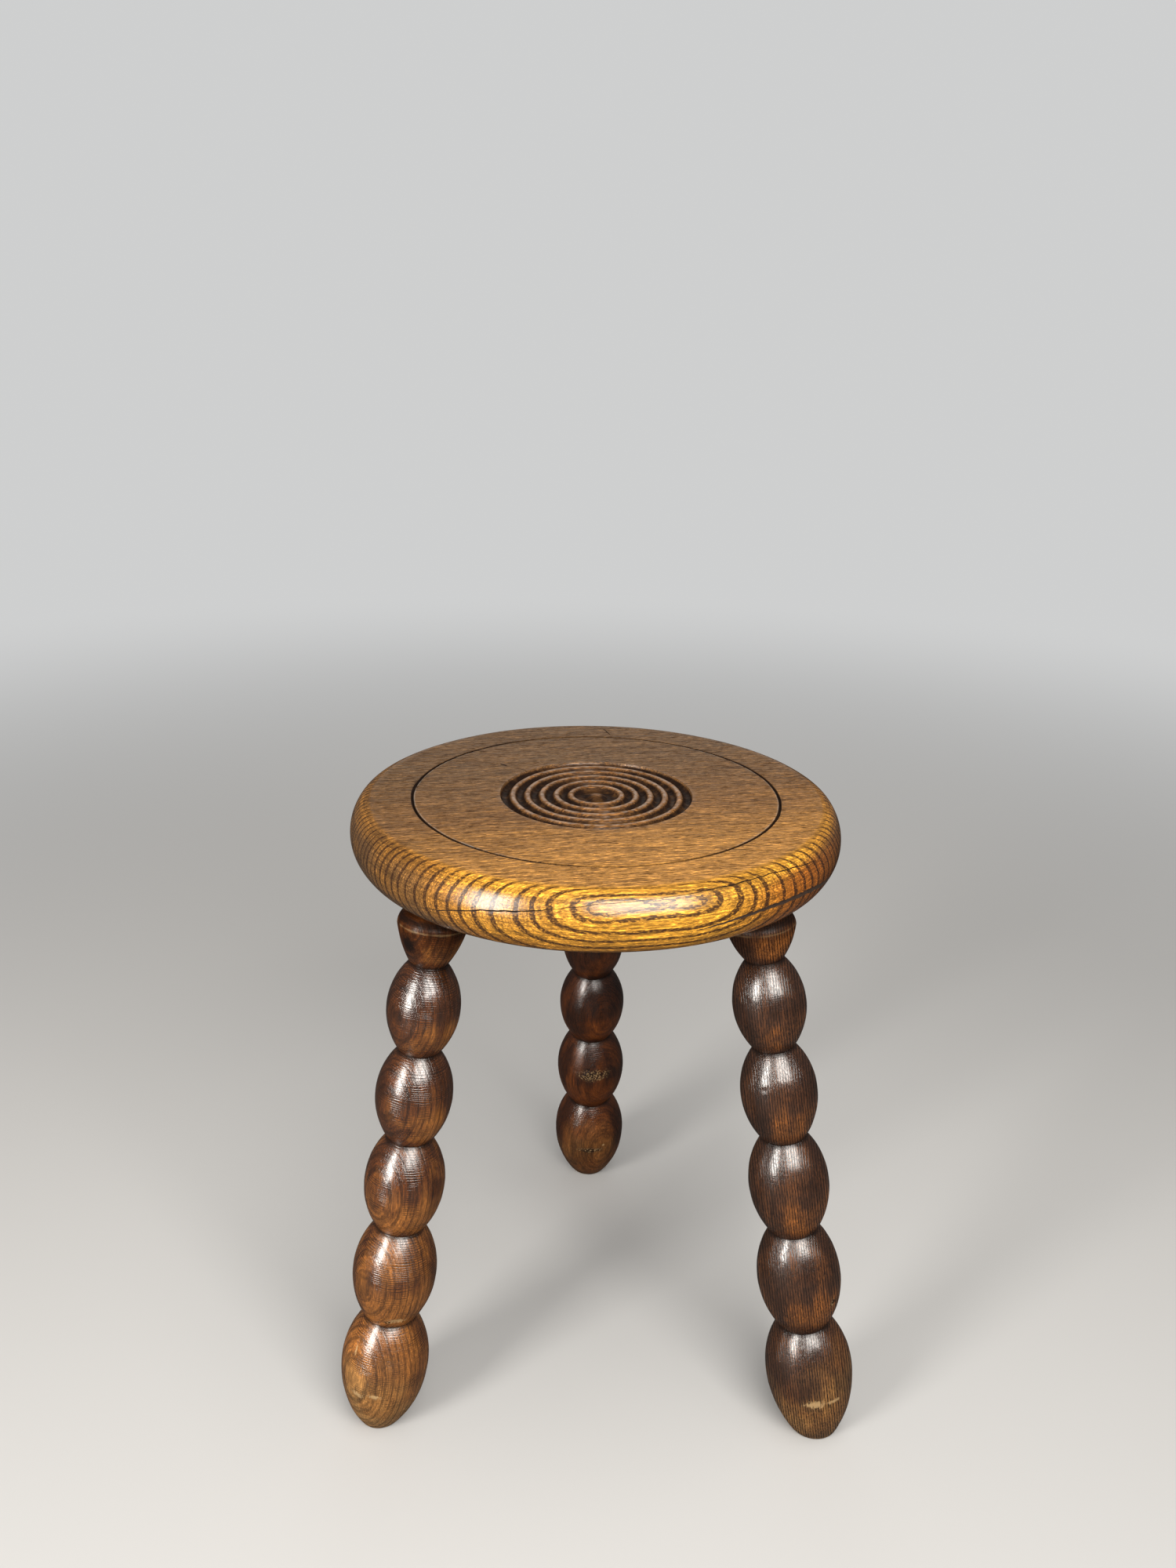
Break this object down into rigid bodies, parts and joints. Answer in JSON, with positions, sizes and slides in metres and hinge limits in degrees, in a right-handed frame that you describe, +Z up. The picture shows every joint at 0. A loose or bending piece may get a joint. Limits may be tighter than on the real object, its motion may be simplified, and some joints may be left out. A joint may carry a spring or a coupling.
{
  "type": "three-legged turned wooden stool",
  "caption": "Low round oak stool with a bullnosed seat, a scribed line and turned rings on its top, on splayed legs turned as strings of beads.",
  "frame": {"origin": "on the floor, straight below the middle of the seat", "axes": "+Z up, out of the seat's top; -Y towards the front, between the two front legs; +X to the right as seen from the front"},
  "size_m": [0.3318, 0.3508, 0.407],
  "materials": {
    "seat_oak": "varnished mid-brown oak, golden at the rim",
    "leg_oak": "dark stained and varnished oak, worn lighter at the feet"
  },
  "bodies": {
    "root": {"seat": "seat_oak", "leg_front_left": "leg_oak", "leg_front_right": "leg_oak", "leg_rear": "leg_oak"}
  },
  "joints": []
}
